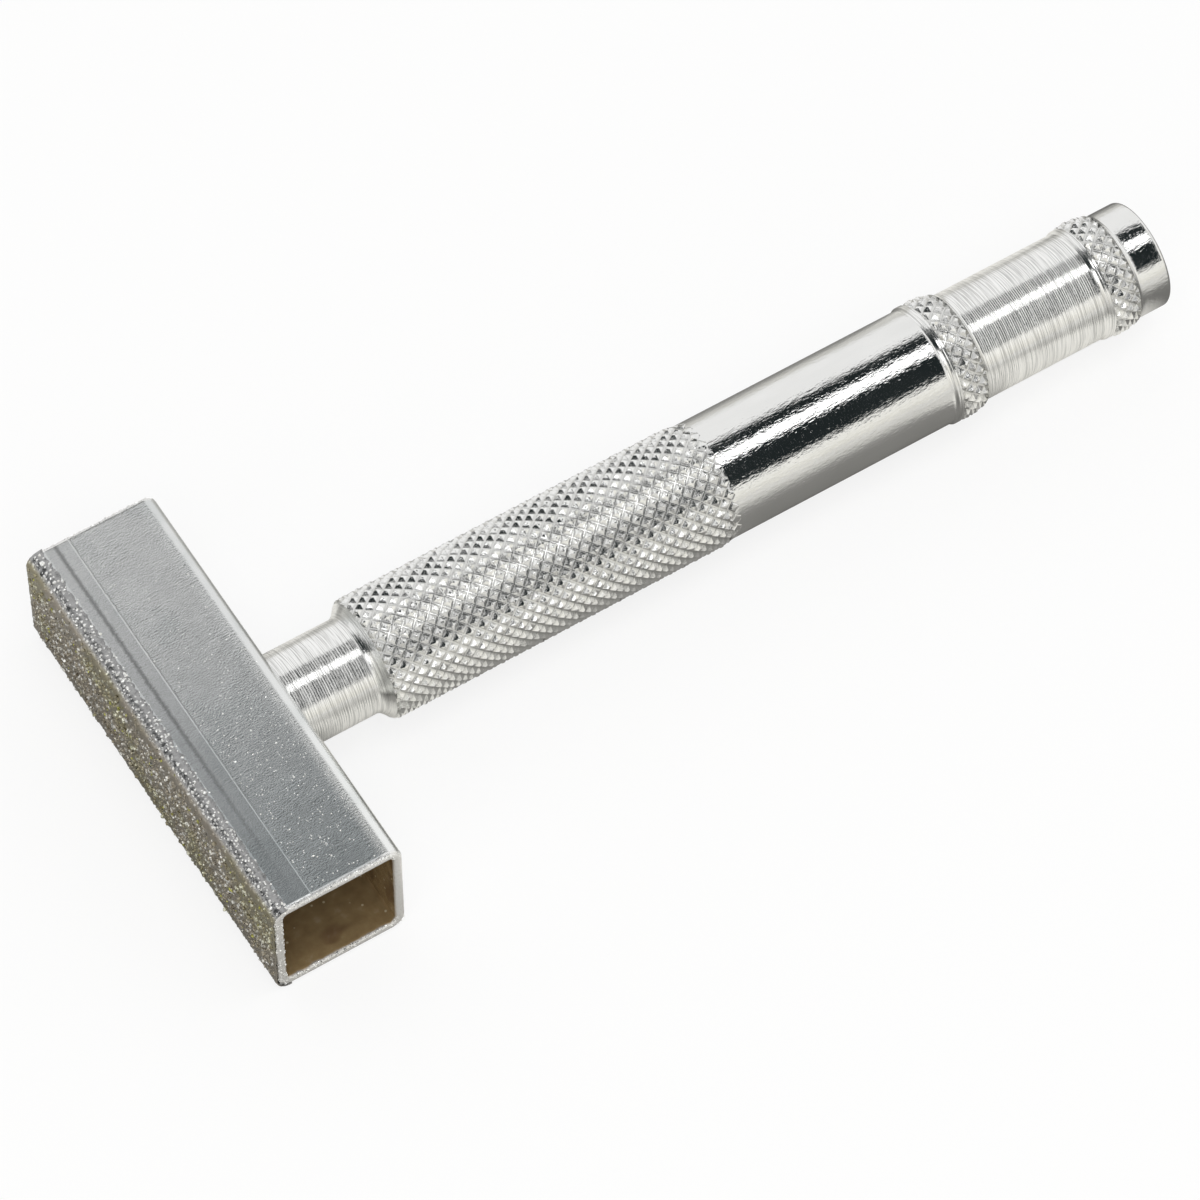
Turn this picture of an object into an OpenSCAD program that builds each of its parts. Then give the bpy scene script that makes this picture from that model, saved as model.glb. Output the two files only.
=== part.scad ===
// Diamond wheel dresser: a square tube head with a diamond-coated front face, on a turned and
// knurled handle. It lies on its side: X runs along the handle towards its tail, Y along the
// head, Z up. The origin is under the middle of the tool, on the surface that it lies on.

/* [Head] */
// Length of the square tube, across the handle
head_len = 45; // [30:0.5:70]
// Outside width and height of the tube
head_w = 13.5; // [13:0.1:20]
// Wall of the tube
head_wall = 1; // [0.8:0.1:1.5]
// Outside corner radius of the tube
head_r = 1.5; // [1:0.1:2]

/* [Diamond coating] */
// Thickness over the front face
coat_t = 0.4; // [0.2:0.05:0.8]
// Thickness where it laps on to the top and bottom faces
lap_t = 0.15; // [0.1:0.05:0.3]
// Width of that lap, from the front of the tube
lap_w = 2; // [1.8:0.1:4]

/* [Handle front] */
// Diameter of the spigot that is riveted through the rear wall of the tube
spigot_d = 6; // [4:0.5:8]
// Diameter of the spigot's riveted end, inside the tube
rivet_d = 8.5; // [8.2:0.1:9]
// Thickness of the riveted end
rivet_t = 1; // [0.5:0.1:1.5]
// Diameter of the neck
neck_d = 9.8; // [9:0.1:11]
// Length of the neck
neck_len = 8; // [4:0.5:20]
// Length of the cone between the neck and the grip
cone_len = 1.2; // [0.5:0.1:4]

/* [Grip and shank] */
// Diameter of the bar, as left on the polished shank
bar_d = 12; // [11.6:0.1:13]
// Length of the knurled grip
grip_len = 36.8; // [20:0.1:60]
// Length of the polished shank behind the grip
shank_len = 25; // [10:0.5:50]

/* [Tail] */
// Diameter of the turned waist between the two knurled rings
waist_d = 11.2; // [10.6:0.1:11.4]
// Length of the waist
waist_len = 13.4; // [6:0.1:30]
// Diameter of the plain tail
tail_d = 11; // [10:0.1:11.2]
// Length of the plain tail
tail_len = 3.3; // [2:0.1:15]
// Radius of the edge round the end of the tail
tail_edge_r = 0.4; // [0.2:0.1:1]

/* [Knurled rings] */
// Length of the knurl on each ring
ring_len = 2.9; // [1.5:0.1:6]
// Diameter over the knurl of the rear ring
rear_ring_d = 12; // [11.9:0.1:12.4]
// Length of the lip in front of each ring
lip_len = 0.9; // [0.6:0.1:2]
// Height of each lip above the surface in front of it
lip_h = 0.2; // [0.15:0.05:0.25]
// Length of the slope behind each ring
slope_len = 0.4; // [0.2:0.1:1]

/* [Knurl] */
// Distance between the points of the knurl, along and around the handle
knurl_pitch = 1.43; // [1:0.01:2]
// Height of the knurl's points above the bar
knurl_rise = 0.25; // [0.1:0.05:0.4]
// Depth of the knurl from its points to its grooves
knurl_depth = 0.45; // [0.4:0.05:0.7]

/* [Hidden] */
$fn = 96;

// Radial room for the spigot in its hole
spigot_clearance = 0.05;
// Smallest inside corner radius that the tube can have
least_inner_r = 0.2;
// How far a cut runs past the solid that it cuts
cut_over = 1;
// Depth below the grooves at which the bar runs on under a knurl
core_depth = 0.6;
// How far the plain rim at each end of a knurl lies under its neighbour
rim_step = 0.05;
// Share of a lip's length that is its front slope
lip_slope = 0.5;
// Steps in the arc round the end of the tail
edge_steps = 6;

// Stations along the tool, counted from the front of the coating
x_tube = coat_t;
x_tube_in = x_tube + head_w - head_wall;
x_rivet = x_tube_in - rivet_t;
x_neck = x_tube + head_w;
x_cone = x_neck + neck_len;
x_grip = x_cone + cone_len;
x_shank = x_grip + grip_len;
x_front_lip = x_shank + shank_len;
x_front_ring = x_front_lip + lip_len;
x_front_slope = x_front_ring + ring_len;
x_waist = x_front_slope + slope_len;
x_rear_lip = x_waist + waist_len;
x_rear_ring = x_rear_lip + lip_len;
x_rear_slope = x_rear_ring + ring_len;
x_tail = x_rear_slope + slope_len;
overall_len = x_tail + tail_len;

// Heights above the surface that the tool lies on
z_tube = lap_t;
z_axis = z_tube + head_w / 2;

// Radii of the handle
bar_r = bar_d / 2;
waist_r = waist_d / 2;
tail_r = tail_d / 2;
grip_point_r = bar_r + knurl_rise;
rear_point_r = rear_ring_d / 2;
rear_lip_r = waist_r + lip_h;

// A rectangle in the first quadrant with four rounded corners
module rounded_rect(w, h, r) {
    translate([r, 0]) square([w - 2 * r, h]);
    translate([0, r]) square([w, h - 2 * r]);
    for (x = [r, w - r], y = [r, h - r])
        translate([x, y]) circle(r);
}

// Stands an outline that is drawn in X and Z along the whole length of the head
module along_head() {
    translate([0, head_len / 2, 0])
        rotate([90, 0, 0])
            linear_extrude(head_len) children();
}

// Moves a piece so that the middle of the tool is over the origin
module in_place() {
    translate([-overall_len / 2, 0, 0]) children();
}

// Turns a piece that stands on Z on to the axis of the handle, starting at a station
module on_axis(x) {
    translate([x, 0, z_axis])
        rotate([0, 90, 0]) children();
}

// Outline of the tube's outside, in X and Z
module tube_outline() {
    translate([x_tube, z_tube]) rounded_rect(head_w, head_w, head_r);
}

// Outline of the tube's inside, in X and Z
module bore_outline() {
    bore_w = head_w - 2 * head_wall;
    bore_r = max(head_r - head_wall, least_inner_r);
    translate([x_tube + head_wall, z_tube + head_wall]) rounded_rect(bore_w, bore_w, bore_r);
}

// Square tube, open at both ends, with the spigot's hole in its rear wall
module head_tube() {
    color("silver") in_place()
        difference() {
            along_head()
                difference() {
                    tube_outline();
                    bore_outline();
                }
            on_axis(x_tube_in - cut_over)
                cylinder(h = head_wall + 2 * cut_over, r = spigot_d / 2 + spigot_clearance);
        }
}

// Diamond grit in plated metal over the tube's front face, lapping on to its top and bottom
module diamond_coating() {
    lap_x = x_tube + lap_w;
    outer_h = head_w + 2 * lap_t;
    color("darkkhaki") in_place()
        along_head()
            difference() {
                intersection() {
                    rounded_rect(lap_x + outer_h, outer_h, head_r + lap_t);
                    square([lap_x, outer_h]);
                }
                tube_outline();
            }
}

// Outline points of an arc that falls from a flank to an end face
function edge_arc(r, x_end, edge_r) = [
    for (i = [0:edge_steps])
        let (a = 90 * i / edge_steps)
        [r - edge_r + edge_r * cos(a), x_end - edge_r + edge_r * sin(a)]
];

// Half section of a turned lip: a slope up, then a land
function lip_section(r, x) = [
    [r, x],
    [r + lip_h, x + lip_slope * lip_len],
    [r + lip_h, x + lip_len]
];

// Half section of the turned bar, as radius and station, with a core under each knurl
function handle_section(grip_core_r, rear_core_r) = concat(
    [
        [0, x_rivet],
        [rivet_d / 2, x_rivet],
        [rivet_d / 2, x_tube_in],
        [spigot_d / 2, x_tube_in],
        [spigot_d / 2, x_neck],
        [neck_d / 2, x_neck],
        [neck_d / 2, x_cone],
        [bar_r, x_grip],
        [grip_core_r, x_grip],
        [grip_core_r, x_shank],
        [bar_r, x_shank]
    ],
    lip_section(bar_r, x_front_lip),
    [
        [grip_core_r, x_front_ring],
        [grip_core_r, x_front_slope],
        [bar_r, x_front_slope],
        [waist_r, x_waist]
    ],
    lip_section(waist_r, x_rear_lip),
    [
        [rear_core_r, x_rear_ring],
        [rear_core_r, x_rear_slope],
        [rear_lip_r, x_rear_slope],
        [tail_r, x_tail]
    ],
    edge_arc(tail_r, overall_len, tail_edge_r),
    [[0, overall_len]]
);

// A diamond knurl standing on Z: points and grooves alternate round each row and from row to
// row, and the first and last rows are plain rims that lie just under the neighbouring surface
module knurl(length, point_r, front_rim_r, rear_rim_r) {
    rows = 2 * round(length / knurl_pitch);
    cols = 2 * round(2 * PI * point_r / knurl_pitch);
    groove_r = point_r - knurl_depth;
    points = [
        for (i = [0:rows], k = [0:cols - 1])
            let (
                lattice_r = (i + k) % 2 == 0 ? point_r : groove_r,
                r = i == 0 ? front_rim_r : i == rows ? rear_rim_r : lattice_r,
                a = 360 * k / cols
            )
            [r * cos(a), r * sin(a), length * i / rows]
    ];
    flanks = [
        for (i = [0:rows - 1], k = [0:cols - 1])
            let (
                next = (k + 1) % cols,
                a = i * cols + k,
                b = i * cols + next,
                c = (i + 1) * cols + next,
                d = (i + 1) * cols + k,
                split = (i + k) % 2 == 0 ? [[a, d, b], [b, d, c]] : [[a, c, b], [a, d, c]]
            )
            each split
    ];
    front = [for (k = [0:cols - 1]) k];
    rear = [for (k = [cols - 1:-1:0]) rows * cols + k];
    polyhedron(points, concat(flanks, [front, rear]));
}

// Handle turned from one bar: riveted spigot, neck, knurled grip, polished shank, two knurled
// rings with a waist between them, and the plain tail
module handle() {
    grip_core_r = grip_point_r - knurl_depth - core_depth;
    rear_core_r = rear_point_r - knurl_depth - core_depth;
    bar_rim_r = bar_r - rim_step;
    rear_rim_r = min(rear_lip_r, rear_point_r) - rim_step;
    color("gainsboro") in_place() {
        on_axis(0)
            rotate_extrude() polygon(handle_section(grip_core_r, rear_core_r));
        on_axis(x_grip)
            knurl(grip_len, grip_point_r, bar_rim_r, bar_rim_r);
        on_axis(x_front_ring)
            knurl(ring_len, grip_point_r, bar_rim_r, bar_rim_r);
        on_axis(x_rear_ring)
            knurl(ring_len, rear_point_r, rear_rim_r, rear_rim_r);
    }
}

head_tube();
diamond_coating();
handle();
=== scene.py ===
import math
import random

import bmesh
import bpy
from mathutils import Matrix, Vector, noise


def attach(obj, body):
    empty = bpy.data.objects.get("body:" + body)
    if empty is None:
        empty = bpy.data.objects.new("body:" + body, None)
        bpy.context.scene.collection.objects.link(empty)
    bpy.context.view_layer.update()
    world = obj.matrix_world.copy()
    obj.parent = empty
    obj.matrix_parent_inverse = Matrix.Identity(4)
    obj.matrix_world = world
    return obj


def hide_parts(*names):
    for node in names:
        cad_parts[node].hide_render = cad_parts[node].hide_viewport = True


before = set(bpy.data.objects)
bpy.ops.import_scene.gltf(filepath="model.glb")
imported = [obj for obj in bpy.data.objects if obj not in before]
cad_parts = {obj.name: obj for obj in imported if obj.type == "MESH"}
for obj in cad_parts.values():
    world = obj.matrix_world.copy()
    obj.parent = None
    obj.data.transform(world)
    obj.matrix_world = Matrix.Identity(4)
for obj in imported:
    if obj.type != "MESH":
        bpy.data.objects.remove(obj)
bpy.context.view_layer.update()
mm = 0.001
micron = 0.000001
fullTurn = 2 * math.pi
mergeGap = 0.0005 * mm       # points closer than this become one
onPlane = 0.001 * mm         # points closer than this lie on a plane
bisectGap = 0.0001 * mm
onFace = 0.01 * mm           # looser, for faces that rise a little
print("frame loaded:", ", ".join(sorted(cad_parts)))


# modelling helpers

def clamp(value, low=0, high=1):
    return min(high, max(low, value))


def inMetres(values):
    return [v * mm for v in values]


def deselectAll():
    bpy.ops.object.select_all(action="DESELECT")


def makeActive(piece):
    deselectAll()
    piece.select_set(True)
    bpy.context.view_layer.objects.active = piece


def newest(name):
    # the primitive that was just added
    piece = bpy.context.object
    piece.name = name
    return piece


def editMode(on):
    bpy.ops.object.mode_set(mode="EDIT" if on else "OBJECT")


def selectWhole():
    bpy.ops.mesh.select_all(action="SELECT")


def pick(piece, kind, test):
    # in edit mode, selects only the points, edges or faces that pass the test
    bpy.ops.mesh.select_mode(type=kind)
    bpy.ops.mesh.select_all(action="DESELECT")
    cage = bmesh.from_edit_mesh(piece.data)
    for part in {"VERT": cage.verts, "EDGE": cage.edges, "FACE": cage.faces}[kind]:
        part.select = test(part)
    cage.select_flush_mode()
    bmesh.update_edit_mesh(piece.data)


def faceOutwards():
    selectWhole()
    bpy.ops.mesh.normals_make_consistent(inside=False)


def applyModifier(piece, kind, **settings):
    makeActive(piece)
    mod = piece.modifiers.new(kind.lower(), kind)
    for key, value in settings.items():
        setattr(mod, key, value)
    bpy.ops.object.modifier_apply(modifier=mod.name)


def combine(piece, tool, operation, solver):
    applyModifier(piece, "BOOLEAN", object=tool, operation=operation, solver=solver)
    bpy.data.objects.remove(tool)


# turned handle, all in millimetres

turning = dict(
    axisZ=6.9,
    columns=162, smooth=35,
    rivet=(-43.1, -42.1), rivetR=4.25, rivetEdge=0.3, spigotR=3.0,
    neck=(-41.1, -33.1), neckR=4.9,
    flareSteps=8, flareCurve=1.6, flareDrop=0.05,     # cone from the neck to just under the grip
    grip=(-31.9, 4.9), shankR=6.0, shankRows=(13.9, 21.9, 29.6),
    frontLip=29.9, frontRing=(30.8, 33.7),
    waist=(34.1, 47.5), waistR=5.6,
    rearLip=47.5, rearRing=(48.4, 51.3),
    tail=(51.7, 55.0), tailR=5.5, tailEdge=0.4, tailEdgeSteps=6, tailEndRows=(4.6, 3.6, 2.4, 1.2, 0),
    # groove, slope and scored land of the lip in front of a ring, as distance and rise
    lip=((0, 0), (0.06, -0.03), (0.14, 0.02), (0.36, 0.2),
         (0.52, 0.2), (0.57, 0.16), (0.62, 0.2), (0.85, 0.2)),
    # slopes behind the rings, as place along the bar and radius
    frontSlope=((33.7, 5.9), (33.95, 5.65)), rearSlope=((51.3, 5.72), (51.6, 5.53)),
    under=0.7, frontUnder=0.9, rearUnder=1.0,         # how far the bar runs below the shank under each knurl
    # lathe marks: pitch and depth, then the shares of a pitch where the flat ends and the cut is deepest
    neckMark=(0.25, 0.016), waistMark=(0.22, 0.016), tailMark=(0.5, 0.004),
    markFlat=0.5, markCut=0.75, markSpread=(0.9, 1.1), cutSpread=(0.6, 1.0), lastMark=1.5, waistGap=0.2,
    seed=11,
)


def latheMarks(x0, x1, radius, mark, t, rng):
    pitch, depth = mark
    points, x = [], x0
    while x < x1 - t["lastMark"] * pitch:
        step = pitch * rng.uniform(*t["markSpread"])
        cut = depth * rng.uniform(*t["cutSpread"])
        points += [(x, radius), (x + step * t["markFlat"], radius), (x + step * t["markCut"], radius - cut)]
        x += step
    return points + [(x1, radius)]


def lip(x, radius, t):
    return [(x + away, radius + rise) for away, rise in t["lip"]]


def handleProfile(t, k):
    rng = random.Random(t["seed"])
    (rivet0, rivet1), (neck0, neck1), (grip0, grip1) = t["rivet"], t["neck"], t["grip"]
    (waist0, waist1), (tail0, tail1) = t["waist"], t["tail"]
    rivetR, rivetEdge, neckR, bar = t["rivetR"], t["rivetEdge"], t["neckR"], t["shankR"]
    waistR, tailR, tailEdge = t["waistR"], t["tailR"], t["tailEdge"]
    gripEnd, lipLength = grip1 + k["runOut"], t["lip"][-1][0]
    points = [(rivet0, 0), (rivet0, rivetR - rivetEdge), (rivet0 + rivetEdge, rivetR), (rivet1, rivetR),
              (rivet1, t["spigotR"]), (neck0, t["spigotR"])]
    points += latheMarks(neck0, neck1, neckR, t["neckMark"], t, rng)
    for i in range(1, t["flareSteps"] + 1):
        u = i / t["flareSteps"]
        rise = (bar - t["flareDrop"] - neckR) * u ** t["flareCurve"]
        points.append((neck1 + (grip0 - neck1) * u, neckR + rise))
    points += [(grip0, bar - t["under"]), (gripEnd, bar - t["under"])]
    points += [(x, bar) for x in (gripEnd, *t["shankRows"])]
    points += lip(t["frontLip"], bar, t)
    points += [(x, bar - t["frontUnder"]) for x in (t["frontLip"] + lipLength, t["frontRing"][1])]
    points += t["frontSlope"]
    points += latheMarks(waist0, waist1 - t["waistGap"], waistR, t["waistMark"], t, rng)
    points += lip(t["rearLip"], waistR, t)
    points += [(x, bar - t["rearUnder"]) for x in (t["rearLip"] + lipLength, t["rearRing"][1])]
    points += t["rearSlope"]
    points += latheMarks(tail0, tail1 - tailEdge, tailR, t["tailMark"], t, rng)
    for i in range(1, t["tailEdgeSteps"] + 1):
        a = i / t["tailEdgeSteps"] * math.pi / 2
        points.append((tail1 - tailEdge * (1 - math.sin(a)), tailR - tailEdge * (1 - math.cos(a))))
    return points + [(tail1, r) for r in t["tailEndRows"]]


def latheBar(name, points, t):
    axis = t["axisZ"] * mm
    deselectAll()
    bpy.ops.mesh.primitive_plane_add(size=mm, enter_editmode=True)
    made = newest(name)
    bpy.ops.mesh.merge(type="CENTER")
    bpy.ops.transform.translate(value=(points[0][0] * mm, 0, points[0][1] * mm + axis))
    for (xa, ra), (xb, rb) in zip(points, points[1:]):
        bpy.ops.mesh.extrude_region_move(
            TRANSFORM_OT_translate={"value": ((xb - xa) * mm, 0, (rb - ra) * mm)})
    selectWhole()
    bpy.ops.mesh.spin(steps=t["columns"], angle=fullTurn, center=(0, 0, axis), axis=(1, 0, 0))
    selectWhole()
    bpy.ops.mesh.remove_doubles(threshold=mergeGap)
    faceOutwards()
    editMode(False)
    return made


# diamond knurl: one point is modelled flat, repeated, and wrapped round the bar

knurl = dict(
    starts=27, pitch=1.4154,          # points round the bar, and their spacing along it
    # inset and rise of a point's flanks, from the groove to the top
    rings=((0.04, 0.0), (0.05, 0.03), (0.27, 0.34), (0.045, 0.025)),
    spareRows=2, lead=1.0,            # the sheet is longer than the knurl and starts ahead of it
    pinned=0.001,                     # share of a point, at its middle and rim, that stays in place
    topBand=0.05, topRough=0.035, topSpread=(-1, 0.4),
    capLength=0.2, capShrink=0.9,     # closed ends, sunk in the bar
    gripRise=0.25, chamfer=0.5, chamferCurve=0.5, fallPast=0.3, fallLength=0.9,
    # the grip's grooves run out raggedly into the shank
    runOut=0.9, runOutGap=0.05, ragged=0.25, raggedWaves=7, raggedLevel=0.4, leastOpen=0.03,
    # radius over the rings' points, at the front, the peak and the rear
    frontTops=(6.1, 6.27, 5.92), rearTops=(5.82, 6.02, 5.76), peakAt=0.35, ringCurve=0.8,
)
knurlDepth = sum(rise for inset, rise in knurl["rings"])


def pointSize(t, k):
    return k["pitch"] * mm, fullTurn * t["shankR"] / k["starts"] * mm


def flatKnurl(name, length, t, k):
    along, around = pointSize(t, k)
    deselectAll()
    bpy.ops.mesh.primitive_circle_add(vertices=4, radius=1, fill_type="NGON", enter_editmode=True)
    made = newest(name)
    bpy.ops.transform.resize(value=(along / 2, around / 2, 1))
    for inset, rise in k["rings"]:
        bpy.ops.mesh.inset(thickness=inset * mm, depth=rise * mm)
    bpy.ops.mesh.poke()
    editMode(False)
    repeats = (
        (2, (along / 2, around / 2, 0)),
        (math.ceil(length / k["pitch"]) + k["spareRows"], (along, 0, 0)),
        (k["starts"], (0, around, 0)),
    )
    for count, offset in repeats:
        applyModifier(made, "ARRAY", count=count, use_relative_offset=False, use_constant_offset=True,
                      constant_offset_displace=offset, use_merge_vertices=True, merge_threshold=mergeGap)
    return made


def wrapKnurl(flat, x0, x1, topAt, openAt, t, k):
    # topAt gives the radius over the points, openAt how far the grooves are cut, from 0 to 1
    axis = t["axisZ"] * mm
    along, around = pointSize(t, k)
    oneStart = fullTurn / k["starts"]
    rng = random.Random(round(x0 * 10))
    lowest = min(v.co.x for v in flat.data.vertices)
    for v in flat.data.vertices:
        p, q = v.co.x / along + v.co.y / around, v.co.x / along - v.co.y / around
        mid = (math.floor(p + 0.5), math.floor(q + 0.5))
        dp, dq = p - mid[0], q - mid[1]
        reach = 2 * max(abs(dp), abs(dq))
        x = x0 - k["lead"] + (v.co.x - lowest) / mm
        cut = openAt(x, v.co.y / around * oneStart)
        if k["pinned"] < reach < 1 - k["pinned"]:
            # a shallow groove is also a narrow one
            grow = (1 - (1 - reach) * cut) / reach
            p, q = mid[0] + dp * grow, mid[1] + dq * grow
            x += ((p + q) / 2 * along - v.co.x) / mm
        turn = (p - q) / 2 * oneStart
        r = topAt(x) - (knurlDepth - v.co.z / mm) * cut
        if v.co.z / mm > knurlDepth - k["topBand"]:
            r += rng.uniform(*k["topSpread"]) * k["topRough"] * cut
        v.co = Vector((x * mm, r * mm * math.cos(turn), axis + r * mm * math.sin(turn)))
    makeActive(flat)
    editMode(True)
    selectWhole()
    bpy.ops.mesh.remove_doubles(threshold=mergeGap)
    for x, side in ((x0, -1), (x1, 1)):
        selectWhole()
        bpy.ops.mesh.bisect(plane_co=(x * mm, 0, 0), plane_no=(side, 0, 0), clear_outer=True,
                            threshold=bisectGap)
        pick(flat, "VERT", lambda v: abs(v.co.x - x * mm) < onPlane)
        bpy.ops.mesh.extrude_region_move(
            TRANSFORM_OT_translate={"value": (side * k["capLength"] * mm, 0, 0)})
        bpy.ops.transform.resize(value=(1, k["capShrink"], k["capShrink"]), center_override=(x * mm, 0, axis))
        bpy.ops.mesh.edge_face_add()
    faceOutwards()
    editMode(False)


def ringTop(span, tops, k):
    (x0, x1), (frontR, peakR, rearR), peakAt = span, tops, k["peakAt"]

    def radiusAt(x):
        u = clamp((x - x0) / (x1 - x0))
        side, end = (u / peakAt, frontR) if u < peakAt else ((1 - u) / (1 - peakAt), rearR)
        return end + (peakR - end) * math.sin(side * math.pi / 2) ** k["ringCurve"]
    return radiusAt


def gripTop(x):
    grip0, grip1 = turning["grip"]
    rise = clamp((x - grip0) / knurl["chamfer"]) ** knurl["chamferCurve"]
    fall = clamp((grip1 + knurl["fallPast"] - x) / knurl["fallLength"])
    return turning["shankR"] + knurl["gripRise"] * min(rise, fall)


def gripOpen(x, turn):
    waves = knurl["raggedWaves"]
    spot = Vector((waves * math.cos(turn), waves * math.sin(turn), knurl["raggedLevel"]))
    end = turning["grip"][1] + knurl["runOut"] - knurl["runOutGap"] + knurl["ragged"] * noise.noise(spot)
    return clamp((end - x) / knurl["fallLength"], low=knurl["leastOpen"])


def fullyOpen(x, turn):
    return 1


bar = latheBar("turned_handle", handleProfile(turning, knurl), turning)
gripSpan = (turning["grip"][0], turning["grip"][1] + knurl["runOut"])
frontTop = ringTop(turning["frontRing"], knurl["frontTops"], knurl)
rearTop = ringTop(turning["rearRing"], knurl["rearTops"], knurl)
knurled = (
    ("grip_knurl", gripSpan, gripTop, gripOpen),
    ("front_ring_knurl", turning["frontRing"], frontTop, fullyOpen),
    ("rear_ring_knurl", turning["rearRing"], rearTop, fullyOpen),
)
for name, (x0, x1), topAt, openAt in knurled:
    sheet = flatKnurl(name, x1 - x0, turning, knurl)
    wrapKnurl(sheet, x0, x1, topAt, openAt, turning, knurl)
    combine(bar, sheet, "UNION", "MANIFOLD")
print("handle turned and knurled:", len(bar.data.polygons), "faces")
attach(bar, "root")
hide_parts("handle")


# square tube of the head

tube = dict(
    x=(-54.6, -41.1), z=(0.15, 13.65), length=45.0,
    wall=1.0, corner=1.5, cornerSteps=10, rim=0.4, rimSteps=4, rimAngle=60,
    holeR=3.05, holeSides=64, holeDepth=3.0, smooth=12,
    # plating step and seam on the top and bottom, as distance from the front and rise
    steps=((1.6, 0.03), (2.5, 0.03), (2.75, 0.02), (3.0, 0.03), (4.04, 0.03), (4.14, 0.0)),
)


def makeTube(name, t):
    (x0, x1), (z0, z1) = inMetres(t["x"]), inMetres(t["z"])
    length, wall = t["length"] * mm, t["wall"] * mm
    deselectAll()
    bpy.ops.mesh.primitive_cube_add(size=1, enter_editmode=True)
    made = newest(name)
    bpy.ops.transform.resize(value=(x1 - x0, length, z1 - z0))
    bpy.ops.transform.translate(value=((x0 + x1) / 2, 0, (z0 + z1) / 2))
    pick(made, "FACE", lambda f: abs(f.normal.y) > 0.9)
    bpy.ops.mesh.delete(type="ONLY_FACE")
    pick(made, "EDGE", lambda e: abs(e.verts[0].co.y - e.verts[1].co.y) > length / 2)
    bpy.ops.mesh.bevel(offset=t["corner"] * mm, segments=t["cornerSteps"], affect="EDGES")
    editMode(False)
    applyModifier(made, "SOLIDIFY", thickness=wall, offset=-1, use_even_offset=True)
    applyModifier(made, "BEVEL", width=t["rim"] * mm, segments=t["rimSteps"], limit_method="ANGLE",
                  angle_limit=math.radians(t["rimAngle"]))
    editMode(True)
    for away, rise in t["steps"]:
        selectWhole()
        bpy.ops.mesh.bisect(plane_co=(x0 + away * mm, 0, 0), plane_no=(1, 0, 0), threshold=bisectGap)
    for away, rise in t["steps"]:
        at = x0 + away * mm
        for face, side in ((z1, 1), (z0, -1)):
            pick(made, "VERT", lambda v: abs(v.co.x - at) < onPlane and abs(v.co.z - face) < onFace)
            bpy.ops.transform.translate(value=(0, 0, side * rise * mm))
    editMode(False)
    # hole for the handle's spigot
    bpy.ops.mesh.primitive_cylinder_add(
        vertices=t["holeSides"], radius=t["holeR"] * mm, depth=t["holeDepth"] * mm,
        location=(x1 - wall / 2, 0, (z0 + z1) / 2), rotation=(0, math.pi / 2, 0))
    combine(made, bpy.context.object, "DIFFERENCE", "EXACT")
    return made


square = makeTube("square_tube", tube)
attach(square, "root")
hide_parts("head_tube")
print("tube made:", len(square.data.polygons), "faces")


# diamond coating: a bed of plated metal with grains set in it

coat = dict(
    lap=1.65, front=0.24, thin=0.03,     # width of the laps, thickness on the front and at the laps' edge
    swell=2.4, swellCurve=0.8,           # the bed grows thicker over this distance from its edge
    cells=(300, 112), skin=0.12, leastLift=0.015, smooth=60,
    trim=0.3, ragged=0.16, raggedWaves=(0.9, 2.7, 6.0),
    lumps=0.06, lumpWaves=3.4, lumpLevel=1.5, fineLumps=0.6, fineWaves=2.3,
    edgeLumps=0.25, lumpGrowth=1.2,      # lumps are lower along the edge
    seed=5,
)


def coatPath(s, c, t):
    # point and outward direction on the tube, s counted from the top lap's edge round the front
    x0, (z0, z1), r = t["x"][0], t["z"], t["corner"]
    flat, bend, face = c["lap"] - r, r * math.pi / 2, z1 - z0 - 2 * r
    if s < flat:
        return (x0 + c["lap"] - s, z1), (0, 1)
    s -= flat
    if s < bend:
        a = s / r
        return (x0 + r - r * math.sin(a), z1 - r + r * math.cos(a)), (-math.sin(a), math.cos(a))
    s -= bend
    if s < face:
        return (x0, z1 - r - s), (-1, 0)
    s -= face
    if s < bend:
        a = s / r
        return (x0 + r - r * math.cos(a), z0 + r - r * math.sin(a)), (-math.cos(a), -math.sin(a))
    return (x0 + r + s - bend, z0), (0, -1)


def coatLength(c, t):
    r = t["corner"]
    return 2 * (c["lap"] - r) + math.pi * r + t["z"][1] - t["z"][0] - 2 * r


def bedHeight(s, total, c):
    near = min(s, total - s)
    return c["thin"] + (c["front"] - c["thin"]) * min(1, near / c["swell"]) ** c["swellCurve"]


def onCoat(s, y, lift, c, t):
    (x, z), (nx, nz) = coatPath(s, c, t)
    return Vector(((x + nx * lift) * mm, y * mm, (z + nz * lift) * mm))


def makeBed(name, c, t):
    deselectAll()
    bpy.ops.mesh.primitive_grid_add(x_subdivisions=c["cells"][0], y_subdivisions=c["cells"][1], size=1)
    made = newest(name)
    total = coatLength(c, t)
    for v in made.data.vertices:
        y = v.co.x * t["length"]
        ragged = sum(c["ragged"] * noise.noise(Vector((y * f, v.co.y, f))) for f in c["raggedWaves"])
        s = clamp(total / 2 + v.co.y * (total + 2 * ragged - c["trim"]), 0, total)
        spot = Vector((s * c["lumpWaves"], y * c["lumpWaves"], c["lumpLevel"]))
        lump = noise.noise(spot) + c["fineLumps"] * noise.noise(spot * c["fineWaves"])
        grown = min(1, c["edgeLumps"] + min(s, total - s) / c["lumpGrowth"])
        lift = bedHeight(s, total, c) + c["lumps"] * lump * grown
        v.co = onCoat(s, y, max(lift, c["leastLift"]), c, t)
    applyModifier(made, "SOLIDIFY", thickness=c["skin"] * mm, offset=-1)
    makeActive(made)
    editMode(True)
    faceOutwards()
    editMode(False)
    return made


# grains, sizes in millimetres

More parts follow.
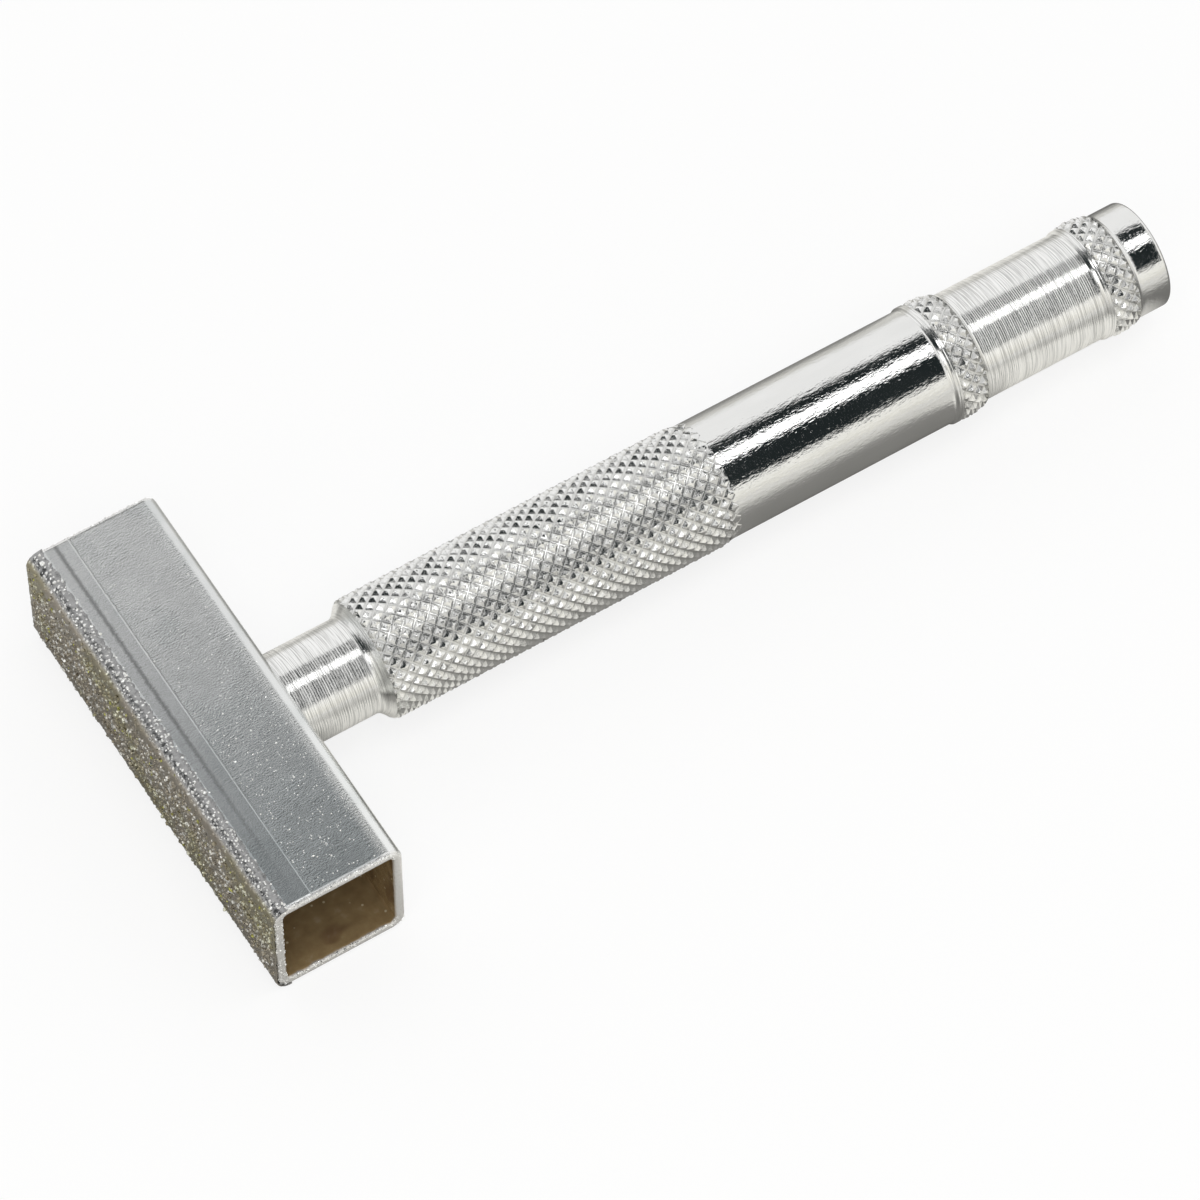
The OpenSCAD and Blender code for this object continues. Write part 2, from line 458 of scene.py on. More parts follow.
grit = dict(
    shapes=6, cuts=4, cutAt=(0.45, 0.7), nearlyFlat=4, squash=(0.7, 1.1),
    spacing=0.41, rowSpacing=0.87, shift=0.3, jitter=(0.45, 0.42),
    size=(0.15, 0.3), bigShare=0.06, big=1.3, edgeSize=0.8, sizeGrowth=2.2,
    edgeShare=0.2, shareGrowth=1.1,      # fewer grains along the laps' edges
    bendShare=0.45, bendZone=(-0.6, 0.7),
    # how far a grain's middle lies off the bed, in its own sizes; a few stand out
    proud=0.05, sink=(-0.9, -0.35), standing=0.04, standingSink=(-0.25, 0.3),
    floorGap=1.1,                        # no grain reaches below the surface that the tool lies on
)


def stoneShapes(g, rng):
    # crystals cut from a ball by random flats
    shapes = []
    for i in range(g["shapes"]):
        deselectAll()
        bpy.ops.mesh.primitive_ico_sphere_add(subdivisions=1, radius=1, enter_editmode=True)
        stone = bpy.context.object
        for cut in range(g["cuts"]):
            flat = Vector((rng.gauss(0, 1), rng.gauss(0, 1), rng.gauss(0, 1))).normalized()
            selectWhole()
            bpy.ops.mesh.bisect(plane_co=flat * rng.uniform(*g["cutAt"]), plane_no=flat, use_fill=True,
                                clear_outer=True)
        selectWhole()
        bpy.ops.mesh.dissolve_limited(angle_limit=math.radians(g["nearlyFlat"]))
        editMode(False)
        corners = [v.co.copy() for v in stone.data.vertices]
        shapes.append((corners, [list(f.vertices) for f in stone.data.polygons]))
        bpy.data.objects.remove(stone)
    return shapes


def scatter(name, spots, shapes, g, rng):
    # one mesh of stones; each spot gives a place, a size and a tone from 0 to 1
    points, faces, tones = [], [], []
    for at, size, tone in spots:
        turn = Matrix.Rotation(rng.uniform(0, fullTurn), 3, "X")
        turn = turn @ Matrix.Rotation(rng.uniform(0, fullTurn), 3, "Z")
        squash = Vector((rng.uniform(*g["squash"]), rng.uniform(*g["squash"]), rng.uniform(*g["squash"])))
        corners, sides = rng.choice(shapes)
        first = len(points)
        points += [at + turn @ (co * squash) * size * mm for co in corners]
        faces += [[first + k for k in f] for f in sides]
        tones += [tone] * len(corners)
    mesh = bpy.data.meshes.new(name)
    mesh.from_pydata(points, [], faces)
    layer = mesh.attributes.new("grainTone", "FLOAT", "POINT")
    layer.data.foreach_set("value", tones)
    stones = bpy.data.objects.new(name, mesh)
    bpy.context.scene.collection.objects.link(stones)
    return stones


def grainSpots(g, c, t, rng):
    total, length = coatLength(c, t), t["length"]
    bend = c["lap"] - t["corner"] + t["corner"] * math.pi / 2
    rows, columns = int(total / (g["spacing"] * g["rowSpacing"])), int(length / g["spacing"])
    jitterS, jitterY = g["jitter"]
    spots = []
    for i in range(rows):
        for j in range(columns):
            s = (i + 0.5 + rng.uniform(-jitterS, jitterS)) * total / rows
            column = j + 0.5 * (i % 2) + g["shift"] + rng.uniform(-jitterY, jitterY)
            y = (column / columns - 0.5) * length
            near = min(s, total - s)
            keep = min(1, g["edgeShare"] + near / g["shareGrowth"])
            if g["bendZone"][0] < near - bend < g["bendZone"][1]:
                keep *= g["bendShare"]
            size = rng.uniform(*g["size"]) * (g["big"] if rng.random() < g["bigShare"] else 1)
            size *= g["edgeSize"] + (1 - g["edgeSize"]) * min(1, near / g["sizeGrowth"])
            sink = rng.uniform(*(g["standingSink"] if rng.random() < g["standing"] else g["sink"]))
            if rng.random() < keep and abs(y) < length / 2 - size:
                at = onCoat(s, y, bedHeight(s, total, c) + g["proud"] + sink * size, c, t)
                at.z = max(at.z, g["floorGap"] * size * mm)
                spots.append((at, size, rng.random()))
    return spots


# plated burrs along the edges of the sawn ends, and flecks on the flat faces, in millimetres

burr = dict(
    count=330, size=(0.08, 0.19), sunk=(0.15, 0.5),
    inset=0.06, insetSpread=0.16, outerShare=0.6, straightShare=0.85,
    # edges of an end that have burrs, as directions in x and z from the middle of the tube
    outerSides=((0, 1), (0, 1), (-1, 0)), innerSides=((0, -1), (0, -1), (-1, 0)),
    flecks=800, fleckSize=(0.04, 0.08), fleckMore=0.06, fleckCurve=4,
    fleckFront=4.3, fleckRear=1.2, fleckEnds=1.4, nearEnd=0.6, topShare=0.65,
)


def rimPoint(inset, sides, b, t, rng):
    # place on the tube's end, from the middle of its section, and the way out from there
    reach, r = (t["x"][1] - t["x"][0]) / 2, t["corner"]
    if rng.random() < b["straightShare"]:
        along = rng.uniform(-1, 1) * (reach - r)
        dx, dz = rng.choice(sides)
        out = Vector((dx, 0, dz))
        return out * (reach - inset) + Vector((abs(dz), 0, abs(dx))) * along, out
    a = rng.uniform(0, math.pi / 2)
    signX, signZ = rng.choice((-1, 1)), rng.choice((-1, 1))
    out = Vector((math.cos(a) * signX, 0, math.sin(a) * signZ))
    return Vector((signX, 0, signZ)) * (reach - r) + out * (r - inset), out


def burrSpots(b, t, rng):
    (x0, x1), (z0, z1), rim = t["x"], t["z"], t["rim"]
    centre = Vector(((x0 + x1) / 2, 0, (z0 + z1) / 2))
    spots = []
    for end in (-1, 1):
        for i in range(b["count"]):
            inset = abs(rng.gauss(0, b["insetSpread"])) + b["inset"]
            outer = rng.random() < b["outerShare"]
            sides = b["outerSides"] if outer else b["innerSides"]
            place, out = rimPoint(inset if outer else t["wall"] - inset, sides, b, t, rng)
            lean = math.asin(max(0, 1 - inset / rim))
            normal = out * math.sin(lean) * (1 if outer else -1) + Vector((0, end * math.cos(lean), 0))
            place += centre + Vector((0, end * (t["length"] / 2 - rim * (1 - math.cos(lean))), 0))
            size = rng.uniform(*b["size"])
            place -= normal * size * rng.uniform(*b["sunk"])
            spots.append((place * mm, size, rng.random()))
    for i in range(b["flecks"]):
        x = rng.uniform(x0 + b["fleckFront"], x1 - b["fleckRear"])
        y = (0.5 - rng.random() ** b["nearEnd"]) * (t["length"] - b["fleckEnds"])
        z = z1 if rng.random() < b["topShare"] else z0
        size = rng.uniform(*b["fleckSize"]) + b["fleckMore"] * rng.random() ** b["fleckCurve"]
        spots.append((Vector((x, y, z)) * mm, size, rng.random()))
    return spots


stoneRng = random.Random(coat["seed"])
stones = stoneShapes(grit, stoneRng)
bed = makeBed("coating_bed", coat, tube)
grains = scatter("diamond_grains", grainSpots(grit, coat, tube, stoneRng), stones, grit, stoneRng)
burrs = scatter("plated_burrs", burrSpots(burr, tube, stoneRng), stones, grit, stoneRng)
for piece, node, slot in (
        (bed, "diamond_coating", "diamond_grit"),
        (grains, "diamond_coating", "diamond_grit"),
        (burrs, "head_tube", "tube_steel")):
    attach(piece, "root")
    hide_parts(node)
print("coating made:", len(grains.data.polygons), "grain faces,", len(burrs.data.polygons), "burr faces")


# material helpers

def addNode(tree, kind, values=None, **settings):
    made = tree.nodes.new("ShaderNode" + kind)
    for key, value in settings.items():
        setattr(made, key, value)
    for key, value in (values or {}).items():
        if isinstance(value, bpy.types.NodeSocket):
            tree.links.new(value, made.inputs[key])
        else:
            made.inputs[key].default_value = value
    return made


def startMaterial(name):
    mat = bpy.data.materials.new(name)
    mat.use_nodes = True
    return mat, mat.node_tree, mat.node_tree.nodes["Principled BSDF"]


def scaledCoords(tree, scale):
    place = addNode(tree, "TexCoord").outputs["Object"]
    return addNode(tree, "Mapping", {"Vector": place, "Scale": scale}).outputs["Vector"]


def objectAxes(tree):
    return addNode(tree, "SeparateXYZ", {0: addNode(tree, "TexCoord").outputs["Object"]}).outputs


def noiseAt(tree, scale, detail):
    # scale is waves per metre along each axis
    values = {"Vector": scaledCoords(tree, scale), "Scale": 1.0, "Detail": detail}
    return addNode(tree, "TexNoise", values).outputs["Fac"]


def ramp(tree, value, stops):
    made = addNode(tree, "ValToRGB", {"Fac": value})
    band = made.color_ramp
    while len(band.elements) < len(stops):
        band.elements.new(0.5)
    for element, (at, colour) in zip(band.elements, stops):
        element.position = at
        element.color = (*colour, 1)
    return made.outputs["Color"]


def mathNode(tree, operation, a, b=0.0):
    return addNode(tree, "Math", {0: a, 1: b}, operation=operation).outputs[0]


def times(tree, a, b):
    return mathNode(tree, "MULTIPLY", a, b)


def offset(tree, value, middle):
    return mathNode(tree, "ABSOLUTE", mathNode(tree, "SUBTRACT", value, middle))


def stretch(tree, value, start, end, low, high, kind="LINEAR"):
    # low at start and high at end
    values = {"Value": value, "From Min": start, "From Max": end, "To Min": low, "To Max": high}
    return addNode(tree, "MapRange", values, interpolation_type=kind).outputs["Result"]


def fade(tree, value, start, end, low=0.0, high=1.0):
    return stretch(tree, value, start, end, low, high, "SMOOTHSTEP")


def mixColour(tree, share, a, b, blend="MIX"):
    made = addNode(tree, "MixRGB", {0: share}, blend_type=blend)
    for key, value in ((1, a), (2, b)):
        if isinstance(value, bpy.types.NodeSocket):
            tree.links.new(value, made.inputs[key])
        else:
            made.inputs[key].default_value = (*value, 1)
    return made.outputs[0]


def colourOf(bsdf):
    return bsdf.inputs["Base Color"].links[0].from_socket


def addBump(tree, bsdf, height, depth):
    # stacks another layer of relief on the ones that are there
    bump = addNode(tree, "Bump", {"Height": height, "Distance": depth, "Strength": 1.0})
    for link in list(bsdf.inputs["Normal"].links):
        tree.links.new(link.from_socket, bump.inputs["Normal"])
    tree.links.new(bump.outputs["Normal"], bsdf.inputs["Normal"])


# fine grain and pits of plated metal, shared by all the finishes

plating = dict(
    detail=3.0, roughness=0.6,
    pits=0.8, pitEdge=(0.05, 0.25), pitting=0.3,
    haze=0.13, hazeDetail=2.0,
)


def plateGroup(p):
    tree = bpy.data.node_groups.new("plateGrain", "ShaderNodeTree")
    tree.interface.new_socket("Vector", in_out="INPUT", socket_type="NodeSocketVector")
    pitting = tree.interface.new_socket("Pitting", in_out="INPUT", socket_type="NodeSocketFloat")
    pitting.default_value = p["pitting"]
    tree.interface.new_socket("Height", in_out="OUTPUT", socket_type="NodeSocketFloat")
    tree.interface.new_socket("Haze", in_out="OUTPUT", socket_type="NodeSocketFloat")
    inside = tree.nodes.new("NodeGroupInput")
    out = tree.nodes.new("NodeGroupOutput")
    place = inside.outputs["Vector"]     # in grain widths
    grain = addNode(tree, "TexNoise", {"Vector": place, "Scale": 1.0, "Detail": p["detail"],
                                       "Roughness": p["roughness"]})
    spots = addNode(tree, "TexVoronoi", {"Vector": place, "Scale": p["pits"]}, feature="F1")
    pit = fade(tree, spots.outputs["Distance"], *p["pitEdge"], 1.0, 0.0)
    depth = times(tree, pit, inside.outputs["Pitting"])
    haze = addNode(tree, "TexNoise", {"Vector": place, "Scale": p["haze"], "Detail": p["hazeDetail"]})
    tree.links.new(mathNode(tree, "SUBTRACT", grain.outputs["Fac"], depth), out.inputs["Height"])
    tree.links.new(haze.outputs["Fac"], out.inputs["Haze"])
    return tree


plateGrain = plateGroup(plating)


def addGrain(tree, scale):
    made = tree.nodes.new("ShaderNodeGroup")
    made.node_tree = plateGrain
    tree.links.new(scaledCoords(tree, scale), made.inputs["Vector"])
    return made


def platedMetal(name, finish):
    # grain is in grains per metre along each axis, relief in microns
    hazy, clear, shade = 0.3, 0.7, 0.95
    mat, tree, bsdf = startMaterial(name)
    grain = addGrain(tree, finish["grain"])
    grain.inputs["Pitting"].default_value = finish["pitting"]
    addBump(tree, bsdf, grain.outputs["Height"], finish["relief"] * micron)
    haze, colour = grain.outputs["Haze"], finish["colour"]
    tree.links.new(stretch(tree, haze, hazy, clear, *finish["rough"]), bsdf.inputs["Roughness"])
    tint = ramp(tree, haze, [(hazy, [c * shade for c in colour]), (clear, colour)])
    tree.links.new(tint, bsdf.inputs["Base Color"])
    bsdf.inputs["Metallic"].default_value = finish.get("metallic", 1.0)
    return mat, tree, bsdf


# finishes of the handle

polished = dict(
    grain=(1300, 3400, 3400), relief=30, rough=(0.05, 0.1), pitting=0.2, colour=(0.88, 0.88, 0.87),
    strokes=(11000, 1300, 1300), strokeRelief=6,
)
turned = dict(
    grain=(9000, 1500, 1500), relief=22, rough=(0.1, 0.17), pitting=0.1, colour=(0.88, 0.88, 0.87),
    rings=(9000, 240, 240),
    ringTones=((0.36, (0.62, 0.62, 0.61)), (0.5, (0.87, 0.87, 0.86)), (0.62, (0.97, 0.97, 0.96))),
)
pressed = dict(
    grain=(5000, 5000, 5000), relief=20, rough=(0.1, 0.18), pitting=0.3, colour=(0.93, 0.93, 0.92),
    # painted shade in the grooves, by radius in millimetres; the rear ring lies a little lower
    shadedGroove=(6.05, 5.9), grooveShadeShare=0.3, grooveShadeColour=(0.3, 0.3, 0.28), rearRing=40, rearDrop=0.25,
)


def polishedMaterial(p):
    mat, tree, bsdf = platedMetal("polished_plate", p)
    addBump(tree, bsdf, noiseAt(tree, p["strokes"], 2.0), p["strokeRelief"] * micron)
    return mat


def turnedMaterial(p):
    mat, tree, bsdf = platedMetal("turned_plate", p)
    tree.links.new(ramp(tree, noiseAt(tree, p["rings"], 2.0), p["ringTones"]), bsdf.inputs["Base Color"])
    return mat


def pressedMaterial(p, t):
    mat, tree, bsdf = platedMetal("knurled_plate", p)
    axes = objectAxes(tree)
    up = mathNode(tree, "SUBTRACT", axes["Z"], t["axisZ"] * mm)
    squares = mathNode(tree, "ADD", times(tree, up, up), times(tree, axes["Y"], axes["Y"]))
    radius = mathNode(tree, "SQRT", squares)
    onRear = mathNode(tree, "GREATER_THAN", axes["X"], p["rearRing"] * mm)
    level = mathNode(tree, "ADD", radius, times(tree, onRear, p["rearDrop"] * mm))
    # the darker colour in the grooves, below a radius, is painted shade
    grooveShade = times(tree, fade(tree, level, *inMetres(p["shadedGroove"])), p["grooveShadeShare"])
    tree.links.new(mixColour(tree, grooveShade, colourOf(bsdf), p["grooveShadeColour"]), bsdf.inputs["Base Color"])
    return mat


# finish of the tube; distances in millimetres, from the tube's front unless it says otherwise

satin = dict(
    grain=(11000, 11000, 11000), relief=8, rough=(0.15, 0.2), pitting=0.0, colour=(0.71, 0.72, 0.72),
    sand=(5200, 5200, 5200), strokes=(1500, 8000, 1500), strokeShare=0.6, sandRelief=18,
    # less of that grain in clouds and near the coating
    clouds=(230, 150, 230), cloudEdge=(0.35, 0.65), sandEdge=(4.0, 4.3), leastSand=0.35,
    # painted shade darkens the plating towards the near end, by place along the tube, but not on the rounded
    # rear edge, which has a painted highlight that is lighter towards the near end
    rearEdge=(1.4, 2.6), nearEnd=(14, -24), nearShadeColour=(0.47, 0.50, 0.51),
    rearHighlightFar=(0.77, 0.78, 0.78), rearHighlightNear=(0.92, 0.93, 0.92),
    strip=(4.15, 4.05), stripAlong=(30, 10), stripTint=(0.95, 0.95, 0.955),
    stain=(0.5, 0.68), stainTint=(0.92, 0.93, 0.93),
    # darker lines along the seam and the step: middle, width and strength
    darkLines=((2.95, 0.36, 0.72), (4.48, 0.1, 0.5)), darkLineColour=(0.2, 0.2, 0.2), darkLineAlong=(-24, 4),
    feather=(700, 8000, 700), featherWidth=0.5,
    # sawn ends, rough under the plating, by distance from the end
    sawn=(0.6, 0.1), sawnColour=(0.87, 0.86, 0.845), sawnDull=0.35,
    sawnGrain=(3800, 3800, 3800), sawnRough=(0.5, 0.1), sawnRelief=80,
    # bare oiled steel inside, by distance from the middle; the plating reaches a little way in
    bare=(6.0, 5.8), bareEdge=(-0.2, 0.1), bareMetal=0.35, wander=(900, 900, 900), wanderWidth=0.6,
    oil=((0.3, (0.30, 0.21, 0.105)), (0.6, (0.37, 0.265, 0.135)), (0.75, (0.45, 0.35, 0.215))),
    blotches=(140, 240, 140), blotchEdge=(0.5, 0.58), blotchTint=(0.62, 0.55, 0.56),
    specks=(900, 900, 900), speckEdge=(0.14, 0.07), speckColour=(0.75, 0.66, 0.46),
)


def tubePlate(tree, bsdf, axes, p, t):
    x0, x1 = inMetres(t["x"])
    clouds = noiseAt(tree, p["clouds"], 3.0)
    # uneven sandy grain with short strokes
    strokes = times(tree, noiseAt(tree, p["strokes"], 2.0), p["strokeShare"])
    sand = mathNode(tree, "ADD", noiseAt(tree, p["sand"], 3.0), strokes)
    sandStart, sandEnd = (x0 + away * mm for away in p["sandEdge"])
    uneven = times(tree, fade(tree, clouds, *p["cloudEdge"], p["leastSand"], 1.0),
                   fade(tree, axes["X"], sandStart, sandEnd, p["leastSand"], 1.0))
    addBump(tree, bsdf, times(tree, sand, uneven), p["sandRelief"] * micron)
    # painted highlight on the rounded rear edge, and painted shade towards the near end
    flat = fade(tree, axes["X"], *(x1 - away * mm for away in p["rearEdge"]))
    nearEnd = fade(tree, axes["Y"], *inMetres(p["nearEnd"]))
    rear = mixColour(tree, nearEnd, p["rearHighlightFar"], p["rearHighlightNear"])
    plate = mixColour(tree, flat, rear, colourOf(bsdf))
    plate = mixColour(tree, times(tree, flat, nearEnd), plate, p["nearShadeColour"])
    strip = times(tree, fade(tree, axes["X"], *(x0 + away * mm for away in p["strip"])),
                  fade(tree, axes["Y"], *inMetres(p["stripAlong"])))
    plate = mixColour(tree, strip, plate, p["stripTint"], "MULTIPLY")
    plate = mixColour(tree, fade(tree, clouds, *p["stain"]), plate, p["stainTint"], "MULTIPLY")
    feather = times(tree, noiseAt(tree, p["feather"], 3.0), p["featherWidth"] * mm)
    shifted = mathNode(tree, "ADD", axes["X"], feather)
    darkLineAlong = fade(tree, axes["Y"], *inMetres(p["darkLineAlong"]))
    # darker lines along the seam and the step
    for middle, width, strength in p["darkLines"]:
        line = fade(tree, offset(tree, shifted, x0 + middle * mm), width * mm, 0.0)
        darkLines = times(tree, times(tree, line, strength), darkLineAlong)
        plate = mixColour(tree, darkLines, plate, p["darkLineColour"])
    return plate


def oiledSteel(tree, wander, p):
    oil = ramp(tree, wander, p["oil"])
    blotches = fade(tree, noiseAt(tree, p["blotches"], 2.0), *p["blotchEdge"])
    oil = mixColour(tree, blotches, oil, p["blotchTint"], "MULTIPLY")
    specks = addNode(tree, "TexVoronoi", {"Vector": scaledCoords(tree, p["specks"]), "Scale": 1.0})
    return mixColour(tree, fade(tree, specks.outputs["Distance"], *p["speckEdge"]), oil, p["speckColour"])


def tubeMaterial(p, t):
    mat, tree, bsdf = platedMetal("satin_tube", p)
    axes = objectAxes(tree)
    half = t["length"] / 2
    along = mathNode(tree, "ABSOLUTE", axes["Y"])
    out = mathNode(tree, "MAXIMUM", offset(tree, axes["X"], sum(t["x"]) / 2 * mm),
                   offset(tree, axes["Z"], sum(t["z"]) / 2 * mm))

    def fromEnd(value, edge):
        return fade(tree, value, *((half - away) * mm for away in edge))
    sawn = fromEnd(along, p["sawn"])
    plate = mixColour(tree, sawn, tubePlate(tree, bsdf, axes, p, t), p["sawnColour"])
    wander = noiseAt(tree, p["wander"], 4.0)
    edge = mathNode(tree, "ADD", along, times(tree, wander, p["wanderWidth"] * mm))
    bare = times(tree, fade(tree, out, *inMetres(p["bare"])), fromEnd(edge, p["bareEdge"]))
    tree.links.new(mixColour(tree, bare, plate, oiledSteel(tree, wander, p)), bsdf.inputs["Base Color"])
    metal = mathNode(tree, "SUBTRACT", fade(tree, bare, 0.0, 1.0, 1.0, p["bareMetal"]),
                     times(tree, sawn, p["sawnDull"]))
    tree.links.new(metal, bsdf.inputs["Metallic"])
    rough = times(tree, fromEnd(along, p["sawnRough"]), noiseAt(tree, p["sawnGrain"], 3.0))
    addBump(tree, bsdf, rough, p["sawnRelief"] * micron)
    return mat


# finishes of the coating: stone colours on the front, plated metal on the corner and laps

stoneLook = dict(
    tones=((0.0, (0.46, 0.42, 0.36)), (0.3, (0.37, 0.33, 0.27)), (0.5, (0.50, 0.46, 0.38)),
           (0.66, (0.40, 0.36, 0.27)), (0.72, (0.86, 0.85, 0.82)), (0.978, (0.80, 0.78, 0.73)),
           (0.984, (0.58, 0.57, 0.18))),
    patches=(170, 170, 170), patchEdge=(0.47, 0.62), patchTint=(0.93, 0.94, 0.79),
    frontEdge=(0.35, -0.1), grain=(7000, 7000, 7000), relief=30,
)
# the bed's plate colour is darkened as painted shade for the pits between the grains
bedLook = dict(metallic=1.0, rough=(0.08, 0.22), plate=(0.42, 0.42, 0.42))
grainLook = dict(metallic=0.95, rough=(0.05, 0.25), plate=(0.9, 0.9, 0.89))
burrLook = dict(
    grain=(9000, 9000, 9000), relief=10, rough=(0.08, 0.2), pitting=0.3, colour=(0.97, 0.97, 0.96),
    metallic=0.85,
)


def gritMaterial(name, look, p, t):
    mat, tree, bsdf = startMaterial(name)
    stone = ramp(tree, addNode(tree, "Attribute", attribute_name="grainTone").outputs["Fac"], p["tones"])
    patches = fade(tree, noiseAt(tree, p["patches"], 2.0), *p["patchEdge"])
    stone = mixColour(tree, patches, stone, p["patchTint"], "MULTIPLY")
    onFront = fade(tree, objectAxes(tree)["X"], *((t["x"][0] + away) * mm for away in p["frontEdge"]))
    tree.links.new(mixColour(tree, onFront, look["plate"], stone), bsdf.inputs["Base Color"])
    grain = addGrain(tree, p["grain"])
    addBump(tree, bsdf, grain.outputs["Height"], p["relief"] * micron)
    tree.links.new(stretch(tree, grain.outputs["Haze"], 0.0, 1.0, *look["rough"]), bsdf.inputs["Roughness"])
    bsdf.inputs["Metallic"].default_value = look["metallic"]
    return mat


polishedZone, turnedZone, knurledZone = 0, 1, 2      # the order of the handle's materials
runOutShine = 0.4                                    # millimetres of the run-out with the knurl's finish


def handleZone(x):
    t = turning
    grip0, grip1 = t["grip"]
    for start, end in ((grip0, grip1 + runOutShine), t["frontRing"], t["rearRing"]):
        if start < x < end:
            return knurledZone
    return polishedZone if grip1 < x < t["frontLip"] or x > t["tail"][0] else turnedZone


def setMaterials(piece, *mats):
    piece.data.materials.clear()
    for mat in mats:
        piece.data.materials.append(mat)


def smoothBy(piece, degrees, sharpZone=None):
    # wide faces stay flat, and the narrow ones between them take up the turn
    makeActive(piece)
    bpy.ops.object.shade_smooth_by_angle(angle=math.radians(degrees))
    if sharpZone is not None:
        # turned rings keep their edges
        verts, faces = piece.data.vertices, {}
        for f in piece.data.polygons:
            if f.material_index == sharpZone:
                for key in f.edge_keys:
                    faces[key] = faces.get(key, 0) + 1
        for e in piece.data.edges:
            a, b = (verts[i].co for i in e.vertices)
            if faces.get(e.key) == 2 and abs(a.x - b.x) < onPlane:
                e.use_edge_sharp = True
    applyModifier(piece, "WEIGHTED_NORMAL", keep_sharp=True, weight=60)


setMaterials(bar, polishedMaterial(polished), turnedMaterial(turned), pressedMaterial(pressed, turning))
for f in bar.data.polygons:
    f.material_index = handleZone(f.center.x / mm)
setMaterials(square, tubeMaterial(satin, tube))
setMaterials(bed, gritMaterial("plated_bed", bedLook, stoneLook, tube))
setMaterials(grains, gritMaterial("diamond_grit", grainLook, stoneLook, tube))
setMaterials(burrs, platedMetal("plated_burr", burrLook)[0])
smoothBy(bar, turning["smooth"], turnedZone)
smoothBy(square, tube["smooth"])
smoothBy(bed, coat["smooth"])
print("materials set")


# stage, light and camera, in metres

shot = dict(
    place=(-0.19453, -0.30323, 0.57337), tilt=31.71, turn=-31.85,
    lens=213.99, sensor=36, clip=(0.01, 20),
)
ground = dict(
    size=4.0, colour=(0.62, 0.61, 0.58), rough=0.9,
    seenColour=(0.95, 0.95, 0.945), whiteShare=0.8,          # as the camera sees it
    mirrorShare=0.6, mirrorFade=(0.05, 0.3),                 # whiter in reflections, away from the tool
    # painted shadow and painted light on the floor close beside the tool, seen only in its reflections, as
    # tones by millimetres along it
    shadeAndLightTones=((-45, 0.38), (-39, 0.42), (-35, 0.9), (-31, 0.9), (-27, 0.31), (4, 0.31),
                (11, 0.25), (34, 0.25), (39, 0.9), (53, 0.9), (57, 0.18)),
    shadeAndLightTint=(1, 0.985, 0.94), closeReach=60, shadeAndLightFade=(0.05, 0.014),
)
# the world by direction: a pale backdrop behind the tool, cards low in front of it, a ceiling over the head
# and the grip, a card past the tail, and a dark room between them
room = dict(
    dark=(0.015, 0.02, 0.021),
    backdrop=(0.92, 0.92, 0.915), backdropTop=(64.5, 58.5),     # degrees up from the back
    # dark upper corner of the backdrop, past the head
    gapHeight=(36, 48), gapSide=(-0.35, -0.55), gapTone=0.08,
    cards=((0.0, (0.70, 0.685, 0.63)), (0.16, (0.88, 0.865, 0.80)), (0.35, (0.97, 0.96, 0.92))),
    cardTop=(0.47, 0.41), cardFront=(0.0, -0.1),
    ceiling=(0.78, 0.78, 0.775), ceilingLeft=(-0.54, -0.4), ceilingRight=(0.19, 0.09),
    tailCard=(0.88, 0.88, 0.87), tailCardSide=(0.47, 0.56),
)
lamps = dict(
    overhead=dict(size=(0.47, 0.24), at=(0.31, -0.09, 0.9), power=0.8, aimed=False, mirrored=True),
    side=dict(size=(0.42, 0.42), at=(-0.80, -0.34, 0.66), power=1.0, aimed=True, mirrored=True),
    fill=dict(size=(1.2, 1.2), at=(-0.2, -0.5, 1.2), power=6.2, aimed=True, mirrored=False),
)


def makeFloor(g):
    deselectAll()
    bpy.ops.mesh.primitive_plane_add(size=g["size"])
    floor = newest("floor")
    mat, tree, bsdf = startMaterial("pale_floor")
    bsdf.inputs["Roughness"].default_value = g["rough"]
    ray = addNode(tree, "LightPath").outputs
    axes = objectAxes(tree)
    # painted shadow and painted light of its own close beside the tool, seen only in reflections
    aside = mathNode(tree, "ABSOLUTE", axes["Y"])
    shadeAndLight = times(tree, fade(tree, aside, *g["shadeAndLightFade"]), ray["Is Glossy Ray"])
    reach = g["closeReach"]
    along = stretch(tree, axes["X"], -reach * mm, reach * mm, 0.0, 1.0)
    stops = [((x + reach) / (2 * reach), [tone * c for c in g["shadeAndLightTint"]]) for x, tone in g["shadeAndLightTones"]]
    colour = mixColour(tree, shadeAndLight, g["colour"], ramp(tree, along, stops))
    colour = mixColour(tree, ray["Is Camera Ray"], colour, g["seenColour"])
    tree.links.new(colour, bsdf.inputs["Base Color"])
    # mostly white to the camera, and whiter in reflections farther away
    away = addNode(tree, "VectorMath", {0: addNode(tree, "TexCoord").outputs["Object"]}, operation="LENGTH")
    pale = times(tree, fade(tree, away.outputs["Value"], *g["mirrorFade"]), g["mirrorShare"])
    share = mathNode(tree, "ADD", times(tree, ray["Is Glossy Ray"], pale),
                     times(tree, ray["Is Camera Ray"], g["whiteShare"]))
    white = addNode(tree, "Emission", {"Color": (1, 1, 1, 1), "Strength": 1.0})
    mix = addNode(tree, "MixShader", {0: share, 1: bsdf.outputs[0], 2: white.outputs[0]})
    tree.links.new(mix.outputs[0], tree.nodes["Material Output"].inputs["Surface"])
    floor.data.materials.append(mat)


